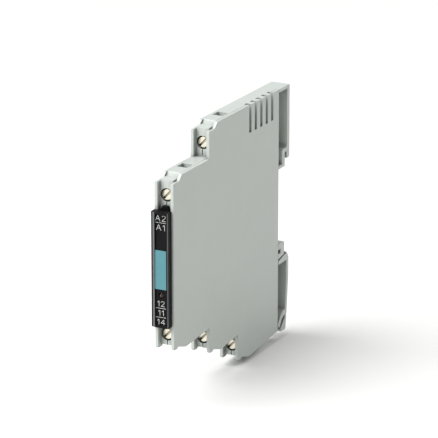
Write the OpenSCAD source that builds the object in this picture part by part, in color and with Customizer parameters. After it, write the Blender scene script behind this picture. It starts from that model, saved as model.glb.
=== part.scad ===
// Slim rail-mounted coupling relay with five screw terminals.
// The front faces -Y, the mounting rail lies behind at y = 0, and +Z is up.
// The origin is the middle of the rail, on the plane of its front flanges.

/* [Module] */
// Width of the whole module across its two side plates
module_w = 6.8; // [6.4:0.1:12]
// Distance from the rail plane forward to the lowest front step
front_reach = 77.1; // [74:0.1:100]
// Height of the top face above the rail centre
top_h = 40.2; // [36:0.1:60]
// Depth of the lowest leg below the rail centre
base_drop = 44.5; // [42:0.1:60]
// How far the upper front step stands behind the lower one
upper_setback = 23.7; // [23:0.1:30]
// How far the upper tier rises above the lower tier
upper_rise = 10.75; // [10:0.05:16]
// Setback of the second terminal row under the front
second_setback = 23.7; // [23:0.1:28]
// Setback of the third terminal row under the front
third_setback = 43.5; // [43:0.1:50]
// Height of the first row's legs above the lowest leg
first_rise = 17.6; // [17:0.1:22]
// Height of the second row's legs above the lowest leg
second_rise = 9.0; // [8.6:0.1:10]

/* [Shell] */
// Thickness of each side plate
wall = 1.15; // [0.9:0.05:1.4]
// Thickness of the edge rim between the side plates
rim = 1.2; // [0.9:0.1:1.5]
// Distance of the cover's back edge from the rail plane
cover_back = 4.6; // [4:0.1:6]
// Depth of the screw face behind the plate edges
recess_depth = 1.8; // [1.4:0.1:2.2]
// Drop of the plate corner below the tier's top
lip_drop = 1.8; // [1.4:0.1:2.2]
// Length of the plate's step above the screw
lip_run = 3.7; // [3:0.1:4.2]
// Length of the sloped edge behind that step
lip_slope = 2.0; // [1.6:0.1:2.4]
// Extra depth of the relay pockets in both side plates
pocket = 0.3; // [0.2:0.05:0.4]

/* [Vents] */
// Number of vent slots in the cover
vent_count = 5; // [3:1:6]
// Width of one vent slot
vent_w = 1.6; // [0.8:0.1:1.8]
// Spacing of the vent slots
vent_pitch = 3.9; // [3:0.1:4.4]
// Length of a vent slot below the top face
vent_len = 9.3; // [6:0.1:12]
// Depth of a vent slot into the top face
vent_depth = 1.9; // [1.6:0.1:2.1]

/* [Terminals] */
// Radius of the screw head
head_r = 1.85; // [1.5:0.05:1.9]
// Radius of the plain well around the head
well_r = 2.2; // [1.95:0.05:2.22]
// Radius of the threaded shank
shank_r = 1.2; // [1:0.05:1.3]
// Pitch of the screw thread
thread_pitch = 0.45; // [0.4:0.05:0.5]
// Turns from fully open to fully closed
screw_turns = 8; // [6:1:8]
// Width of a wire entry
entry_w = 3.6; // [3:0.1:3.8]
// Length of a wire entry, front to back
entry_len = 4.0; // [3.4:0.1:4.2]
// Distance of an upper screw below its tier's top
screw_drop = 6.2; // [6:0.1:7]
// Distance of a lower screw above its row's legs
screw_up = 4.6; // [4.4:0.1:5.4]

/* [Rail latch] */
// Width of the mounting rail over its flanges
rail_w = 35; // [35:1:35]
// Gap left for the rail's flange between hook and seat
flange_gap = 1.2; // [1.1:0.05:1.4]
// Travel of the latch foot when it is pulled down
foot_travel = 2.5; // [2:0.1:3]
// Length of the latch's guide tongue inside the housing
tongue_len = 6.4; // [5:0.1:8]

/* [Label] */
// Width of the clip-on label carrier
label_w = 6.0; // [5.6:0.1:6.1]
// Height of the label carrier
label_h = 37.8; // [34:0.1:38]
// How far the label carrier stands in front of the plates
label_proud = 2.6; // [2:0.1:3]
// Width of the coloured marking tag
tag_w = 4.4; // [3.8:0.1:4.6]
// Height of the marking tag
tag_h = 12.7; // [10:0.1:14]

/* [Relay insert] */
// Length of the plug-in relay
relay_len = 28; // [27:0.5:30]
// Height of the plug-in relay
relay_h = 15; // [14.5:0.5:16]
// Angle that the armature swings through
armature_deg = 2.2; // [1.8:0.1:2.2]

/* [Hidden] */
$fn = 48;

// Colours of the materials
c_shell = "#b9bfba";
c_black = "#17181a";
c_tag = "#5fa9b3";
c_nickel = "#e3dfce";
c_zinc = "#b4b6b8";
c_copper = "#c2703d";
c_brass = "#c9a24b";
c_board = "#2f6b45";
c_clear = "#e9eef0";
c_relay = "#3b5e86";
c_iron = "#8d9196";
c_silver = "#d7d9dc";
c_lamp = "#d8412f";
c_epoxy = "#2b2c30";
c_resistor = "#8fb7c4";
c_sleeve = "#5a4a8a";
c_bobbin = "#e8e4da";
c_card = "#efe9dc";

// Small allowances
eps = 0.01;
fit = 0.05;
slack = 0.15;

// Side plates
half_w = module_w / 2;
in_x = half_w - wall;

// Front and bottom planes of the steps
front_y = -front_reach;
upper_y = front_y + upper_setback;
second_y = front_y + second_setback;
third_y = front_y + third_setback;
back_y = -cover_back;
lower_top = top_h - upper_rise;
third_z = -base_drop;
second_z = third_z + second_rise;
first_z = third_z + first_rise;

// Legs and sloped underside of each lower row
leg_run = 2.3;
leg_notch = 0.5;
mouth_run = 8.0;
mouth_drop = 1.1;
back_lift = 1.0;
core_lift = 1.1;

// Sloped recess above an upper screw
shelf_up = 2.9;
shelf_run = 1.0;
slope_run = 7.0;

// Distance of the last vent's middle from the cover's back edge
vent_margin = 5;

// Rail hook at the top and seat lug at the bottom
rail_half = rail_w / 2;
slot_top = rail_half + 0.2;
hook_wall = 1.9;
hook_y = flange_gap + hook_wall + 0.2;
hook_tip = slot_top - 2.4;
leg_w = 2.1;
leg_z = slot_top - 4.85;
arch = 1.4;
tip_chamfer = 0.5;
pocket_chamfer = 0.6;
lug_top = -rail_half + 4.5;
lug_chamfer = 0.4;
lug_edge = -rail_half + 0.15;
slit_drop = 1.1;
slit_w = 0.5;
lug_hole = 1.3;
lug_hole_drop = 3.4;
lug_hole_run = 1.7;

// Latch foot
foot_gap = 0.2;
foot_front = back_y + foot_gap;
foot_top = lug_edge - slit_w;
foot_nose = 0.8;
foot_slope = 0.4;
foot_reach = 3.2;
foot_wall = 1.6;
foot_band = 2.4;
knee_drop = 8;
ankle_up = 6.5;
toe_y = 1.3;
toe_len = 3.2;
toe_chamfer = 0.5;
heel_up = 2.9;
strut_t = 1.3;
tongue_h = 5.2;
tongue_top = foot_top - slit_drop - 0.25;
tongue_half = in_x - 0.75;
tongue_head = 1.4;
tongue_web = 0.8;

// Terminal stack, measured back from its front step
head_gap = 0.3;
head_len = 1.8;
well_len = head_gap + head_len + 0.4;
shoulder = 1.0;
chamber_y = recess_depth + well_len + shoulder;
clamp_travel = thread_pitch * screw_turns;
cage_front = 1.0;
cage_back = 0.9;
cage_side = 0.6;
cage_y = chamber_y + clamp_travel + 0.5;
bar_t = 0.6;
bar_y = cage_y + cage_front + 1.3;
entry_y = bar_y + bar_t + 0.2;
cage_in_end = entry_y + entry_len + 0.3;
chamber_end = cage_in_end + cage_back + 0.3;
block_end = chamber_end + 0.8;
cage_half_h = 2.2;
chamber_half_h = cage_half_h + 0.4;
block_half_h = chamber_half_h + 0.8;
cage_half_w = in_x - 0.2;
bar_half_w = cage_half_w - cage_side - 0.2;
entry_x = -0.3;
slot_w = 0.75;
slot_depth = 0.9;
tab_len = 4.5;
tab_h = 4;
parting_w = 0.3;
parting_len = 2.0;

// Circuit board and what it carries
board_t = 0.8;
board_x = -in_x + 0.4;
board_face = board_x + board_t;
board_gap = 6.2;
wall_in = recess_depth + rim + 0.3;
floor_in = core_lift + rim + 0.5;
board_front = front_y + 5.5;
board_back = back_y - rim - 7.2;
lead_t = 0.5;

// Components on the board: sizes, and places from the front, the relay or the rail's middle
lamp_up = 1.9;
lamp_w = 2.0;
bridge_y = front_y + 20;
bridge_z = 2.0;
bridge_up = 2.2;
bridge_len = 4.5;
bridge_h = 5.0;
bridge_leg = 0.8;
bridge_lead = 1.0;
diode_r = 0.9;
diode_len = 4.0;
diode_rise = 6.0;
resistor_r = 1.3;
resistor_len = 7.0;
resistor_rise = 12.0;
lead_r = 0.3;
cap_r = min(1.5, (in_x - board_face - 0.3) / 2);
cap_len = 8.0;

// Relay insert, lying on its side with its base on top
relay_half = in_x + pocket - fit;
relay_back = back_y - rim - 3.2;
relay_front = relay_back - relay_len;
relay_top = 7.0;
relay_base_z = relay_top - relay_h;
relay_gap = 0.7;
case_t = 0.4;
case_half = relay_half - case_t;
base_t = 1.6;

// Relay pins, as places along its length
pin_places = [2.5, 7.5, 16, 20.3, 25];
pin_w = 0.6;
pin_up = 3.4;
pin_fit = 0.02;

// Coil and iron: u runs back from the relay's front end, v runs down from its base
yoke_u = 1.0;
yoke_v = 3.2;
iron_t = 1.0;
iron_half = case_half - 0.3;
coil_u = yoke_u + iron_t + 1;
coil_end = coil_u + 12;
flange_t = 0.7;
flange_v = yoke_v + iron_t + 0.5;
flange_h = 8.8;
flange_half = case_half - 0.15;
wind_half = flange_half - 0.15;
tube_v = 7.0;
tube_h = 4.2;
tube_t = 0.5;
tube_half = 1.15;
pole_end = coil_end + 0.6;
pole_half = 1.6;
pole_v = 6.2;
pole_h = 5.8;
pivot_v = yoke_v + 0.5;
arm_u = pole_end + (pole_v + pole_h - pivot_v) * tan(armature_deg) + 0.03;
arm_t = 0.8;

// Contacts
card_u = arm_u + arm_t + fit;
card_v = 11.8;
card_t = 1.0;
card_half = -board_face + 0.25;
leaf_u = card_u + 3.4;
leaf_t = 0.2;
leaf_half = -board_face - 0.25;
rivet_v = 9.5;
rivet_r = 0.7;
rivet_h = 0.4;
rivet_pin_r = 0.35;
contact_gap = 0.26;
fixed_t = 0.25;
fixed_v = 11.2;
fixed_foot = 0.4;

// Label carrier and its light guide
label_top = 18.8;
label_base = label_top - label_h;
label_y = front_y - label_proud;
channel = 0.5;
guide_z = -8.5;
guide_r = 0.8;
collar = 0.6;
tag_z = -6.4;
prong_z = [13.5, -14.5];
prong_w = 1.8;
prong_h = 1.4;
label_x = -0.33;
tag_x = -0.25;
edge_w = 0.8;
strip_w = 1.4;
strip_slope = 0.3;
edge_chamfer = 0.25;
tab_up = 1.2;
tab_slope = 1.1;

// [front step, screw height, side the wire comes from, leg or top height]
T_A1 = [front_y, lower_top - screw_drop, 1, lower_top];
T_A2 = [upper_y, top_h - screw_drop, 1, top_h];
T_12 = [front_y, first_z + screw_up, -1, first_z];
T_11 = [second_y, second_z + screw_up, -1, second_z];
T_14 = [third_y, third_z + screw_up, -1, third_z];
TERMINALS = [T_A1, T_A2, T_12, T_11, T_14];

// Centres of the bosses that locate the board and hold the cover
BOSSES = [
  [front_y + 19, 12], [front_y + 19, -11.5], [upper_y + 4, lower_top - 9],
  [board_back - 3.5, lower_top - 7], [board_back - 3.5, -16.5]
];
boss_r = 1.5;
boss_base_r = 2.1;
peg_r = 0.7;
peg_len = 2.4;

// ---- helpers ----

// Extrudes a side-view outline of [y, z] points from x0 to x1
module slab(points, x0, x1) {
  translate([x0, 0, 0]) rotate([90, 0, 90]) linear_extrude(x1 - x0) polygon(points);
}

// A box given by its limits along each axis
module box(x0, x1, y0, y1, z0, z1) {
  translate([x0, y0, z0]) cube([x1 - x0, y1 - y0, z1 - z0]);
}

// A round bar along Y
module rod_y(r, y0, y1, x, z) {
  translate([x, y0, z]) rotate([-90, 0, 0]) cylinder(r = r, h = y1 - y0);
}

// A round bar along X
module rod_x(r, x0, x1, y, z) {
  translate([x0, y, z]) rotate([0, 90, 0]) cylinder(r = r, h = x1 - x0);
}

// ---- outlines in side view ----

// Plate edge of an upper tier, front to back
function plate_top(f, t) = [
  [f, t - lip_drop], [f + lip_run, t - lip_drop], [f + lip_run + lip_slope, t]
];

// Plate edge under a lower row, back to front, from the next row's front face
function plate_foot(f, b, end_y, end_z) = [
  [end_y, end_z], [f + mouth_run, b - mouth_drop], [f + leg_run + leg_notch, b + leg_notch],
  [f + leg_run, b], [f + leg_notch, b], [f, b + leg_notch]
];

// Whole side plate up to the cover's back edge
function plate_outline() = concat(
  plate_top(front_y, lower_top), [[upper_y, lower_top]],
  plate_top(upper_y, top_h), [[back_y, top_h]],
  plate_foot(third_y, third_z, back_y, third_z + back_lift),
  plate_foot(second_y, second_z, third_y, second_z),
  plate_foot(front_y, first_z, second_y, first_z)
);

// Core of an upper tier between the plates, front to back
function core_top(f, t, low) = [
  [f + recess_depth, low], [f + recess_depth, t - screw_drop + shelf_up],
  [f + recess_depth + shelf_run, t - screw_drop + shelf_up], [f + slope_run, t]
];

// Core under a lower row, back to front
function core_foot(f, b, end_y, end_z) = [
  [end_y, end_z], [f + mouth_run, b - mouth_drop + eps],
  [f + leg_run + leg_notch, b + leg_notch + eps],
  [f + recess_depth, b + core_lift]
];

// Everything between the plates, before it is hollowed
function core_outline() = concat(
  core_top(front_y, lower_top, first_z + core_lift + 1),
  core_top(upper_y, top_h, lower_top), [[back_y, top_h]],
  core_foot(third_y, third_z, back_y, third_z + back_lift),
  core_foot(second_y, second_z, third_y + recess_depth, second_z),
  core_foot(front_y, first_z, second_y + recess_depth, first_z)
);

// Hollow inside the edge rim
function cavity_outline() = [
  [front_y + recess_depth + rim, first_z + core_lift + rim],
  [front_y + recess_depth + rim, lower_top - rim - shelf_up],
  [front_y + slope_run + rim, lower_top - rim],
  [upper_y + recess_depth + rim, lower_top - rim],
  [upper_y + recess_depth + rim, top_h - rim - shelf_up],
  [upper_y + slope_run + rim, top_h - rim],
  [back_y - rim, top_h - rim],
  [back_y - rim, third_z + back_lift + rim],
  [third_y + recess_depth + rim, third_z + back_lift + rim],
  [third_y + recess_depth + rim, second_z + core_lift + rim],
  [second_y + recess_depth + rim, second_z + core_lift + rim],
  [second_y + recess_depth + rim, first_z + core_lift + rim]
];

// Rail hook behind the top of the plates
function hook_outline() = [
  [back_y - eps, top_h], [hook_y, top_h], [hook_y, hook_tip + tip_chamfer],
  [hook_y - tip_chamfer, hook_tip], [flange_gap, hook_tip], [flange_gap, slot_top],
  [0, slot_top], [0, leg_z], [back_y - eps, leg_z]
];

// Open pocket in the hook
function hook_pocket() = [
  [back_y, top_h - rim], [hook_y - hook_wall, top_h - rim],
  [hook_y - hook_wall, slot_top + arch + pocket_chamfer],
  [hook_y - hook_wall - pocket_chamfer, slot_top + arch],
  [-leg_w + pocket_chamfer, slot_top + arch], [-leg_w, slot_top + arch - pocket_chamfer],
  [-leg_w, leg_z + rim], [back_y, leg_z + rim]
];

// Fixed lug that the rail's lower edge rests on
function lug_outline() = [
  [back_y - eps, lug_top], [-lug_chamfer, lug_top], [0, lug_top - lug_chamfer], [0, lug_edge],
  [back_y - eps, lug_edge - slit_drop]
];

// Latch foot seen from the side, from its top front corner round by the nose
function foot_outline() = [
  [foot_front, foot_top - slit_drop], [slack, foot_top], [flange_gap - slack, foot_top],
  [flange_gap - slack, foot_top + foot_nose],
  [flange_gap + foot_nose, foot_top + foot_nose - foot_slope],
  [foot_reach, foot_top - foot_wall], [foot_reach, foot_top - knee_drop],
  [toe_y + foot_nose, third_z + ankle_up], [toe_y, third_z + toe_chamfer],
  [toe_y - toe_chamfer, third_z], [toe_y - toe_len, third_z], [foot_front, third_z + heel_up]
];

// Long window in the latch foot
function foot_window() = [
  [foot_front - eps, foot_top - foot_band], [foot_reach - foot_wall, foot_top - foot_band],
  [foot_reach - foot_wall, foot_top - knee_drop], [toe_y - toe_chamfer, third_z + ankle_up + 0.9],
  [toe_y - 2 * strut_t, third_z + ankle_up + 0.3], [foot_front - eps, third_z + heel_up + 0.7]
];

// Narrow gap between the latch foot's two slanted struts
function strut_window() = [
  [toe_y - 0.7, third_z + ankle_up - 0.9], [toe_y - 0.7, third_z + ankle_up - 0.9 - strut_t],
  [foot_front + 1.5, third_z + 0.9], [foot_front + 1, third_z + 1.9],
  [toe_y - 2.9, third_z + 1.9 + 2 * strut_t]
];

// ---- terminal parts ----

// Slotted clamping screw of one terminal
module screw(t) {
  head_y = t[0] + recess_depth + head_gap;
  color(c_nickel) difference() {
    union() {
      translate([0, head_y, t[1]]) rotate([-90, 0, 0]) rotate_extrude() polygon([
        [0, 0], [head_r - slack, 0], [head_r, slack], [head_r, head_len], [0, head_len]
      ]);
      rod_y(shank_r, head_y + head_len - eps, t[0] + bar_y - fit, 0, t[1]);
    }
    translate([0, head_y, t[1]]) rotate([0, -45, 0])
      box(-head_r - 1, head_r + 1, -1, slot_depth, -slot_w / 2, slot_w / 2);
  }
}

// Lifting clamp cage of one terminal, at its open end
module clamp(t) {
  y0 = t[0] + cage_y;
  y1 = t[0] + cage_in_end + cage_back;
  color(c_zinc) difference() {
    box(-cage_half_w, cage_half_w, y0, y1, t[1] - cage_half_h, t[1] + cage_half_h);
    box(-cage_half_w + cage_side, cage_half_w - cage_side, y0 + cage_front, y1 - cage_back,
        t[1] - cage_half_h - 1, t[1] + cage_half_h + 1);
    rod_y(shank_r + fit, y0 - 1, y0 + cage_front + 1, 0, t[1]);
  }
}

// Fixed contact bar of one terminal, from the clamp to the board's edge
module bar(t) {
  s = t[2];
  y0 = t[0] + bar_y;
  z_out = t[1] + s * cage_half_h;
  z_mid = t[1] - s * board_gap;
  z_in = z_mid - s * tab_h;
  color(c_copper) union() {
    box(-bar_half_w, bar_half_w, y0, y0 + bar_t, min(z_out, z_mid), max(z_out, z_mid));
    box(board_face, board_face + lead_t, y0, y0 + tab_len,
        min(z_in, z_mid + s), max(z_in, z_mid + s));
  }
}

// ---- housing ----

// Solid block around one terminal
module terminal_block(t) {
  s = t[2];
  near = t[1] - s * block_half_h;
  far = s > 0 ? t[3] - rim : t[3] + core_lift + rim;
  box(-in_x - eps, in_x, t[0] + recess_depth + eps, t[0] + block_end,
      min(near, far), max(near, far));
}

// Everything cut out of a terminal block
module terminal_cuts(t) {
  s = t[2];
  far = t[3] + s * (rim + 1);
  rod_y(well_r, t[0] + recess_depth - 1, t[0] + recess_depth + well_len, 0, t[1]);
  rod_y(shank_r + slack, t[0] + recess_depth, t[0] + chamber_y + eps, 0, t[1]);
  box(-in_x, in_x + eps, t[0] + chamber_y, t[0] + chamber_end,
      t[1] - chamber_half_h, t[1] + chamber_half_h);
  box(entry_x - entry_w / 2, entry_x + entry_w / 2, t[0] + entry_y,
      t[0] + entry_y + entry_len, min(t[1], far), max(t[1], far));
  box(-bar_half_w - fit, bar_half_w + fit, t[0] + bar_y - fit, t[0] + bar_y + bar_t + fit,
      min(t[1], t[1] - s * (block_half_h + 1)), max(t[1], t[1] - s * (block_half_h + 1)));
  box(-parting_w / 2, parting_w / 2, t[0] + recess_depth - eps, t[0] + recess_depth + 0.5,
      t[1] - well_r - parting_len, t[1] - well_r + slack);
}

// Slots through the top edge for the vents, from x0 outwards
module vents(x0) {
  first_vent = back_y - vent_margin - (vent_count - 1) * vent_pitch;
  for (i = [0 : vent_count - 1])
    box(x0, half_w + 1, first_vent + i * vent_pitch - vent_w / 2,
        first_vent + i * vent_pitch + vent_w / 2, top_h - vent_len, top_h + 1);
}

// Tray with the left side plate, edge rim, terminal blocks, rail hook and seat lug
module housing_shell() {
  color(c_shell) difference() {
    union() {
      slab(plate_outline(), -half_w, -in_x);
      difference() {
        slab(core_outline(), -in_x - eps, in_x);
        slab(cavity_outline(), -in_x, in_x + 1);
      }
      for (t = TERMINALS) terminal_block(t);
      difference() {
        slab(hook_outline(), -half_w, half_w);
        slab(hook_pocket(), -in_x, half_w + 1);
      }
      difference() {
        slab(lug_outline(), -half_w, half_w);
        box(0, half_w + 1, back_y - 1, back_y + lug_hole_run,
            lug_top - lug_hole_drop, lug_top - lug_hole_drop + lug_hole);
      }
      for (b = BOSSES) {
        rod_x(boss_base_r, -in_x - eps, board_x, b[0], b[1]);
        rod_x(boss_r, -in_x - eps, in_x - fit, b[0], b[1]);
      }
    }
    box(in_x, half_w + 1, back_y - rim - 1, back_y, third_z, top_h + 1);
    for (t = TERMINALS) terminal_cuts(t);
    for (b = BOSSES) rod_x(peg_r + fit, in_x - peg_len - 0.2, in_x + 1, b[0], b[1]);
    vents(half_w - vent_depth);
    box(-in_x - pocket, in_x, relay_front - fit, relay_back + fit,
        relay_base_z - fit, relay_top + fit);
    rod_y(guide_r + fit, front_y, front_y + recess_depth + rim + 1, 0, guide_z);
    for (z = prong_z)
      box(-prong_w / 2 - 0.2, prong_w / 2 + 0.2, front_y, front_y + recess_depth + rim + 1,
          z - prong_h / 2 - 0.2, z + prong_h / 2 + 0.2);
    box(-tongue_half - slack, tongue_half + slack, back_y - rim - 1, back_y + 1,
        tongue_top - tongue_h - foot_travel - 2 * foot_gap, tongue_top + foot_gap);
  }
}

// Flat right side plate with the vent slots and its pegs
module side_cover() {
  color(c_shell) union() {
    difference() {
      slab(plate_outline(), in_x, half_w);
      vents(half_w - vent_depth);
      box(in_x - 1, in_x + pocket, relay_front - fit, relay_back + fit,
          relay_base_z - fit, relay_top + fit);
    }
    for (b = BOSSES) rod_x(peg_r, in_x - peg_len, in_x + eps, b[0], b[1]);
  }
}

// Sprung latch foot that grips the rail's lower edge
module rail_foot() {
  color(c_shell) union() {
    difference() {
      slab(foot_outline(), -half_w, half_w);
      slab(foot_window(), -in_x, half_w + 1);
      slab(strut_window(), -in_x, half_w + 1);
    }
    box(-tongue_half, tongue_half, back_y - tongue_len, foot_front + eps,
        tongue_top - tongue_h, tongue_top);
    box(-in_x - eps, tongue_half, foot_front, foot_front + tongue_web,
        tongue_top - tongue_h, tongue_top);
    box(-in_x + slack, in_x - slack, back_y - tongue_len, back_y - tongue_len + tongue_head,
        tongue_top - tongue_h, tongue_top);
  }
}

// ---- front ----

// Clip-on carrier with raised edges, prongs and a window for the tag
module label_carrier() {
  left = label_x - label_w / 2;
  right = label_x + label_w / 2;
  back = front_y + recess_depth - fit;
  tab_half = in_x - 2 * slack;
  color(c_black) difference() {
    union() {
      translate([0, 0, label_base]) linear_extrude(label_h) polygon([
        [left, front_y], [left, label_y + strip_slope], [left + strip_w, label_y],
        [right - edge_chamfer, label_y], [right, label_y + edge_chamfer], [right, front_y]
      ]);
      box(-tab_half, tab_half, front_y - eps, back, label_base + 1, label_top - edge_w);
      translate([0, back, 0]) rotate([90, 0, 0]) linear_extrude(recess_depth - rim / 2) polygon([
        [-tab_half, label_top - edge_w], [-tab_half + tab_slope, label_top + tab_up],
        [tab_half - tab_slope, label_top + tab_up], [tab_half, label_top - edge_w]
      ]);
      for (z = prong_z)
        box(-prong_w / 2, prong_w / 2, front_y, back + rim + edge_w,
            z - prong_h / 2, z + prong_h / 2);
    }
    box(left + strip_w, right - edge_chamfer, label_y - 1, label_y + channel,
        label_base + edge_w, label_top - edge_w);
    box(tag_x - tag_w / 2 - fit, tag_x + tag_w / 2 + fit, label_y - 1, label_y + channel + 1,
        tag_z - fit, tag_z + tag_h + fit);
    rod_y(guide_r + slack, label_y - 1, back + 1, 0, guide_z);
  }
}

// Coloured marking tag that snaps into the carrier
module marking_tag() {
  color(c_tag) box(tag_x - tag_w / 2, tag_x + tag_w / 2, label_y + channel / 2,
                   label_y + channel + 1 - fit, tag_z, tag_z + tag_h);
}

// Clear rod that brings the lamp's light to the front
module light_guide() {
  inner_face = front_y + recess_depth + rim;
  color(c_clear) union() {
    rod_y(guide_r, label_y + channel + 2 * fit, board_front - 2 * slack, 0, guide_z);
    rod_y(guide_r + collar, inner_face + fit, inner_face + fit + collar, 0, guide_z);
  }
}

// ---- board and its components ----

// Board outline, with the notch that the relay lies in
function board_outline() = [
  [board_front, T_12[1] + board_gap], [board_front, T_A1[1] - board_gap],
  [front_y + block_end + 1, T_A1[1] - board_gap], [front_y + block_end + 1, T_A2[1] - board_gap],
  [board_back, T_A2[1] - board_gap], [board_back, relay_top + relay_gap],
  [relay_front - relay_gap, relay_top + relay_gap],
  [relay_front - relay_gap, relay_base_z - relay_gap],
  [board_back, relay_base_z - relay_gap], [board_back, T_14[1] + board_gap],
  [third_y + wall_in, T_14[1] + board_gap], [third_y + wall_in, T_11[1] + board_gap],
  [second_y + wall_in, T_11[1] + board_gap], [second_y + wall_in, first_z + floor_in],
  [second_y - 4, first_z + floor_in], [second_y - 4, T_12[1] + board_gap]
];

// Printed circuit board
module circuit_board() {
  color(c_board) difference() {
    slab(board_outline(), board_x, board_face);
    for (b = BOSSES) rod_x(boss_r + fit, board_x - 1, board_face + 1, b[0], b[1]);
  }
}

// A box standing on the board's face: height off the board, front, length, bottom, height
module on_board(up, y, len, z, h) {
  box(board_face, board_face + up, y, y + len, z, z + h);
}

// Status lamp behind the light guide
module status_led() {
  color(c_lamp) on_board(lamp_up, board_front + slack, lamp_w, guide_z - lamp_w / 2, lamp_w);
}

// Bridge rectifier with two pairs of legs
module rectifier() {
  color(c_epoxy) union() {
    on_board(bridge_up, bridge_y, bridge_len, bridge_z, bridge_h);
    for (z = [bridge_z + bridge_lead / 2, bridge_z + bridge_h - bridge_lead])
      on_board(lead_t / 2, bridge_y - bridge_leg, bridge_len + 2 * bridge_leg, z, lead_t);
  }
}

// Diode across the coil
module suppressor_diode() {
  z = relay_top + diode_rise;
  color(c_epoxy) union() {
    rod_x(diode_r / 2, board_face, board_face + diode_r, relay_front + 5, z);
    rod_y(diode_r, relay_front + 4, relay_front + 4 + diode_len, board_face + diode_r, z);
  }
}

// Series resistor under the vents, on two bent leads
module series_resistor() {
  x = board_face + resistor_r + slack;
  y = relay_front + 12;
  z = relay_top + resistor_rise;
  color(c_resistor) union() {
    rod_y(resistor_r, y, y + resistor_len, x, z);
    rod_y(lead_r, y - 1, y + resistor_len + 1, x, z);
    for (end = [y - 1 + lead_r, y + resistor_len + 1 - lead_r])
      rod_x(lead_r, board_face, x + lead_r, end, z);
  }
}

// Smoothing capacitor lying on the board
module smoothing_capacitor() {
  color(c_sleeve) translate([board_face + cap_r + fit, front_y + 21, -cap_len])
    cylinder(r = cap_r, h = cap_len);
}

// ---- relay insert ----

// Height of a point at depth v below the relay's base
function rz(v) = relay_top - v;

// A box inside the relay: x half width, length span, depth span
module rbox(x, u0, u1, v0, v1) {
  box(-x, x, relay_front + u0, relay_front + u1, rz(v1), rz(v0));
}

// A round bar inside the relay, along its length
module rrod(r, u0, u1, v) {
  rod_y(r, relay_front + u0, relay_front + u1, 0, rz(v));
}

// Relay base with openings for the pins
module relay_base() {
  color(c_relay) difference() {
    rbox(case_half - fit, case_t + fit, relay_len - case_t - fit, 0, base_t);
    for (u = pin_places)
      box(board_face - pin_fit, board_face + lead_t + pin_fit, relay_front + u - pin_fit,
          relay_front + u + pin_w + pin_fit, rz(base_t + 1), rz(-1));
  }
}

// Relay dust case, open at the base
module relay_case() {
  color(c_relay) difference() {
    rbox(relay_half, 0, relay_len, 0, relay_h);
    rbox(case_half, case_t, relay_len - case_t, -1, relay_h - case_t);
  }
}

// Five pins from the base to the board
module relay_pins() {
  color(c_silver) for (u = pin_places)
    box(board_face, board_face + lead_t, relay_front + u, relay_front + u + pin_w,
        rz(base_t), rz(-pin_up));
}

// Coil former with two end flanges
module coil_bobbin() {
  color(c_bobbin) difference() {
    union() {
      rbox(flange_half, coil_u, coil_u + flange_t, flange_v, flange_v + flange_h);
      rbox(flange_half, coil_end - flange_t, coil_end, flange_v, flange_v + flange_h);
      rbox(tube_half, coil_u, coil_end, tube_v, tube_v + tube_h);
    }
    rbox(tube_half - tube_t, coil_u - 1, coil_end + 1, tube_v + tube_t, tube_v + tube_h - tube_t);
  }
}

// Copper winding on the former
module coil_winding() {
  start = coil_u + flange_t + fit;
  end = coil_end - flange_t - fit;
  top = flange_v + tube_t + wind_half;
  bottom = flange_v + flange_h - tube_t - wind_half;
  color(c_copper) difference() {
    union() {
      rrod(wind_half, start, end, top);
      rrod(wind_half, start, end, bottom);
      rbox(wind_half, start, end, top, bottom);
    }
    rbox(tube_half, start - 1, end + 1, tube_v, tube_v + tube_h);
  }
}

// Iron core with its pole plate
module coil_core() {
  color(c_iron) union() {
    rbox(tube_half - tube_t, yoke_u + iron_t, pole_end, tube_v + tube_t, tube_v + tube_h - tube_t);
    rbox(pole_half, coil_end + fit, pole_end, pole_v, pole_v + pole_h);
  }
}

// L-shaped iron yoke
module magnet_yoke() {
  color(c_iron) union() {
    rbox(iron_half, yoke_u, yoke_u + iron_t, yoke_v, tube_v + tube_h - 0.3);
    rbox(iron_half, yoke_u, arm_u - 2 * fit, yoke_v, yoke_v + iron_t);
  }
}

// Armature plate that tips on the yoke's end
module armature() {
  color(c_iron) rbox(iron_half, arm_u, arm_u + arm_t, yoke_v + 2 * fit, flange_v + flange_h - 2 * fit);
}

// Card that carries the armature's motion to the contact spring
module pusher_card() {
  color(c_card) difference() {
    rbox(card_half, card_u, leaf_u + 1.1, card_v, card_v + card_t);
    rbox(leaf_half + slack, leaf_u - 0.2, leaf_u + leaf_t + 0.2, card_v - 1, card_v + card_t + 1);
  }
}

// Common contact spring
module contact_spring() {
  color(c_brass) difference() {
    rbox(leaf_half, leaf_u, leaf_u + leaf_t, base_t + fit, card_v + card_t + 0.4);
    rrod(rivet_pin_r, leaf_u - 1, leaf_u + 1, rivet_v);
  }
}

// Double-headed contact on the spring
module moving_rivet() {
  color(c_silver) union() {
    rrod(rivet_r, leaf_u - rivet_h, leaf_u, rivet_v);
    rrod(rivet_pin_r, leaf_u - eps, leaf_u + leaf_t + eps, rivet_v);
    rrod(rivet_r, leaf_u + leaf_t, leaf_u + leaf_t + rivet_h, rivet_v);
  }
}

// Fixed contact: a leaf at u, a foot on the base from foot_u, and a rivet from u0 to u1
module fixed_contact(u, foot_u, foot_len, u0, u1) {
  color(c_brass) union() {
    rbox(leaf_half, u, u + fixed_t, base_t + fit, fixed_v);
    box(board_face, board_face + lead_t, relay_front + foot_u, relay_front + foot_u + foot_len,
        rz(base_t + fixed_foot), rz(base_t));
    rrod(rivet_r, u0, u1, rivet_v);
  }
}

// Make contact, which the spring meets when the coil is on
module contact_make() {
  u = leaf_u - rivet_h - contact_gap - rivet_h - fixed_t;
  fixed_contact(u, pin_places[2], u - pin_places[2] + fixed_t - eps, u + fixed_t - eps,
                u + fixed_t + rivet_h);
}

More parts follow.
